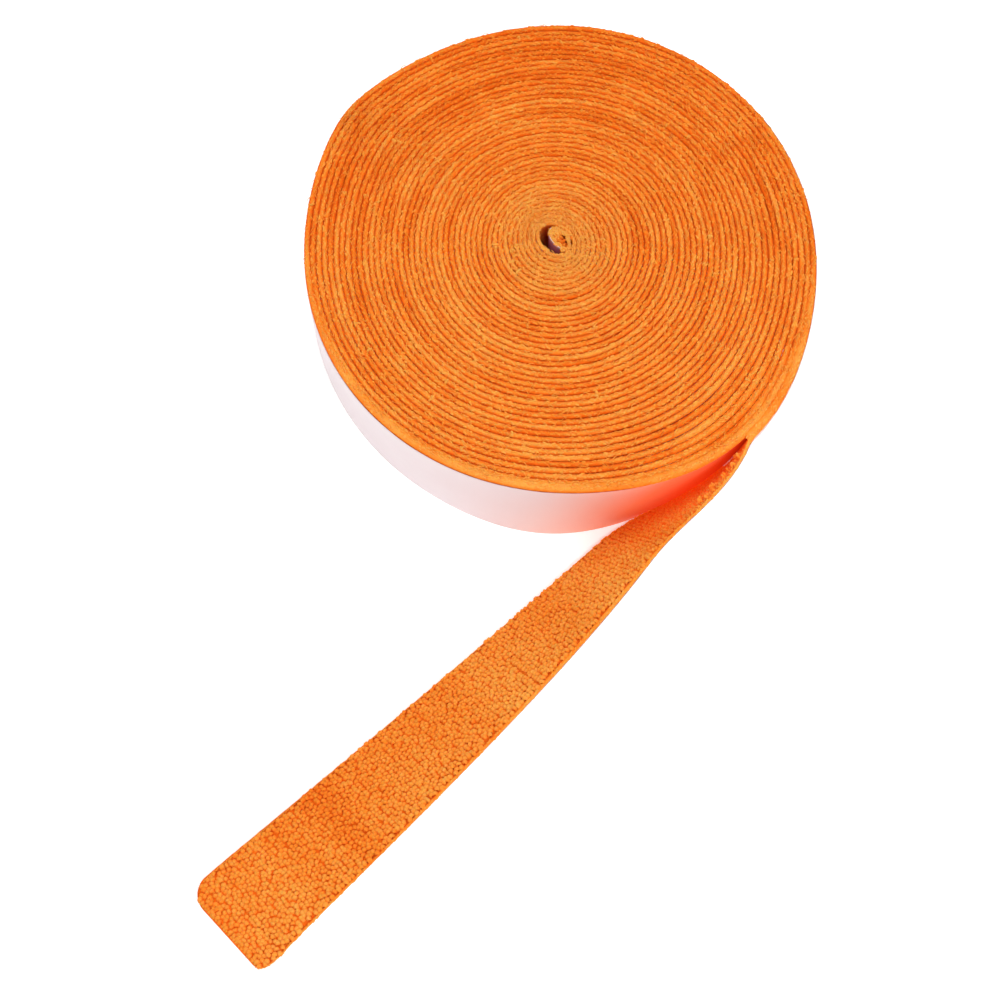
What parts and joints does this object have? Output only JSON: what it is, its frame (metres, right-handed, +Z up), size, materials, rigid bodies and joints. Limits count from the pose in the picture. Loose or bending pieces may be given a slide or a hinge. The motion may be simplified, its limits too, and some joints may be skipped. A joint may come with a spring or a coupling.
{
  "type": "grip tape roll",
  "caption": "Towelling racket grip tape wound flat into a coreless roll, with release paper on its back and a free end laid out to peel and wind on a handle.",
  "frame": {"origin": "middle of the coil, on the flat face it rests on, where the first lap passes", "axes": "+Z up along the coil's axis, across the tape's width; the free end leaves towards -X and -Y; +X to the right seen from the free end's side"},
  "size_m": [0.1521, 0.2393, 0.027],
  "materials": {
    "terry": "looped pile",
    "adhesive": "tacky film",
    "release_paper": "smooth coated paper"
  },
  "bodies": {
    "coil": {"terry_coil": "terry", "adhesive_coil": "adhesive", "paper_coil": "release_paper"},
    "wrap": {"terry_wrap": "terry", "adhesive_wrap": "adhesive", "paper_wrap": "release_paper"},
    "leader": {"terry_leader": "terry", "adhesive_leader": "adhesive", "paper_leader": "release_paper"},
    "tip": {"terry_tip": "terry", "adhesive_tip": "adhesive", "paper_tip": "release_paper"},
    "towel_end": {"terry_end": "terry", "adhesive_end": "adhesive"}
  },
  "joints": [
    {"name": "wrap_peel", "type": "hinge", "parent": "coil", "child": "wrap", "pos_m": [0.06254, 0.0141, 0], "axis": [0, 0, 1], "range_deg": [0, 20]},
    {"name": "leader_swing", "type": "hinge", "parent": "wrap", "child": "leader", "pos_m": [0.04678, -0.0507, 0], "axis": [0, 0, 1], "range_deg": [0, 40]},
    {"name": "tip_lift", "type": "hinge", "parent": "leader", "child": "tip", "pos_m": [-0.05835, -0.12846, 0.00216], "axis": [-0.6355, 0.6887, -0.3491], "range_deg": [0, 75]},
    {"name": "towel_peel", "type": "hinge", "parent": "tip", "child": "towel_end", "pos_m": [-0.0711, -0.13972, 0.00223], "axis": [-0.6589, 0.7141, -0.2364], "range_deg": [0, 70]}
  ]
}
